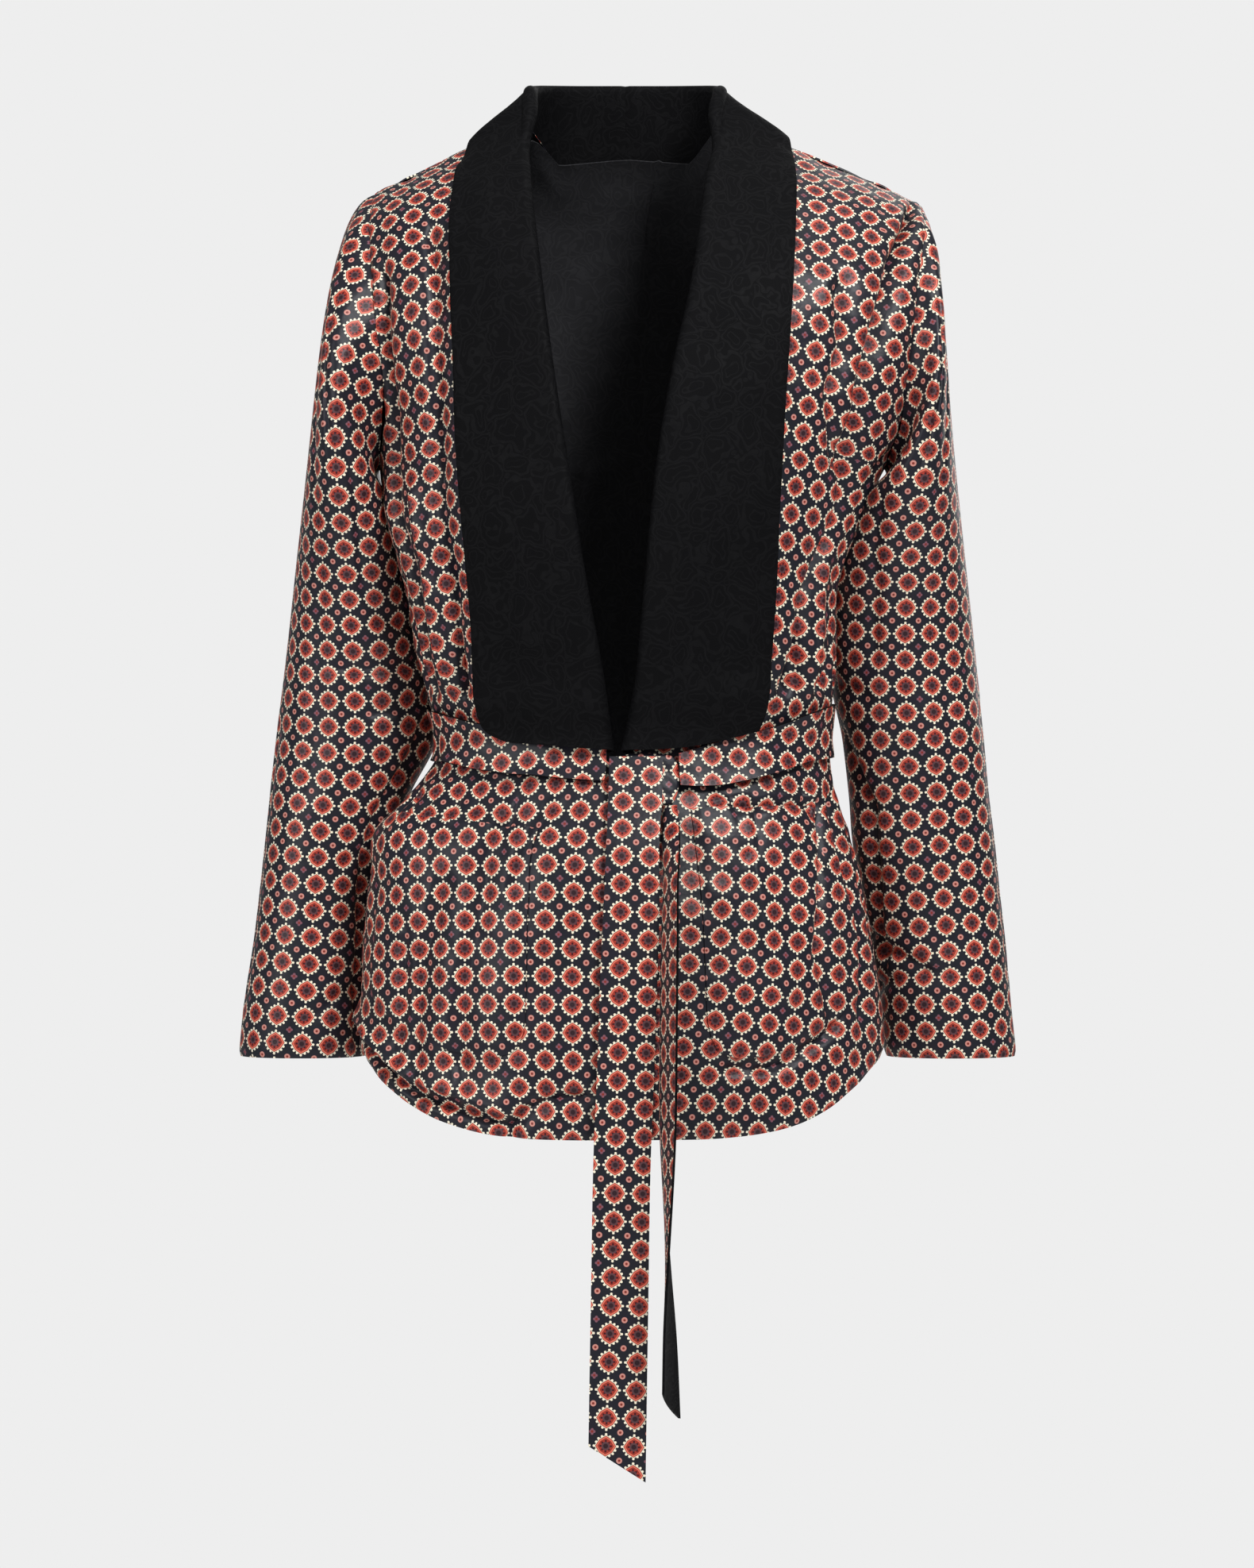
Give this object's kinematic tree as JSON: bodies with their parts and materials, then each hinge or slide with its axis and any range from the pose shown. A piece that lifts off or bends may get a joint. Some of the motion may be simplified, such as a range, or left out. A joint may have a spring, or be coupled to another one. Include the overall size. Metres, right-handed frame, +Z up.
{
  "type": "smoking jacket",
  "caption": "Hip-length wrap jacket in printed satin with a black shawl collar, long sleeves, patch pockets and a tied self belt.",
  "frame": {"origin": "middle of the neck, level with the side of the neck at the shoulder", "axes": "+Z up the wearer's body, the front faces -Y, the wearer's left side is at +X"},
  "size_m": [0.5689, 0.3115, 1.0003],
  "materials": {
    "printed_satin": "satin, woven, with a small all-over print",
    "black_jacquard": "tone-on-tone jacquard, low sheen",
    "black_lining": "smooth lining cloth",
    "belt_satin": "satin with the same print as the body",
    "pocket_satin": "satin with the same print as the body"
  },
  "bodies": {
    "root": {"back": "printed_satin", "front_right": "printed_satin", "front_left": "printed_satin", "sleeve_right": "printed_satin", "sleeve_left": "printed_satin", "collar_right": "black_jacquard", "collar_left": "black_jacquard", "back_lining": "black_lining", "pocket_right": "pocket_satin", "pocket_left": "pocket_satin", "belt_wrap": "belt_satin", "belt_knot": "belt_satin", "belt_tail_broad": "belt_satin", "belt_tail_narrow": "belt_satin"}
  },
  "joints": []
}
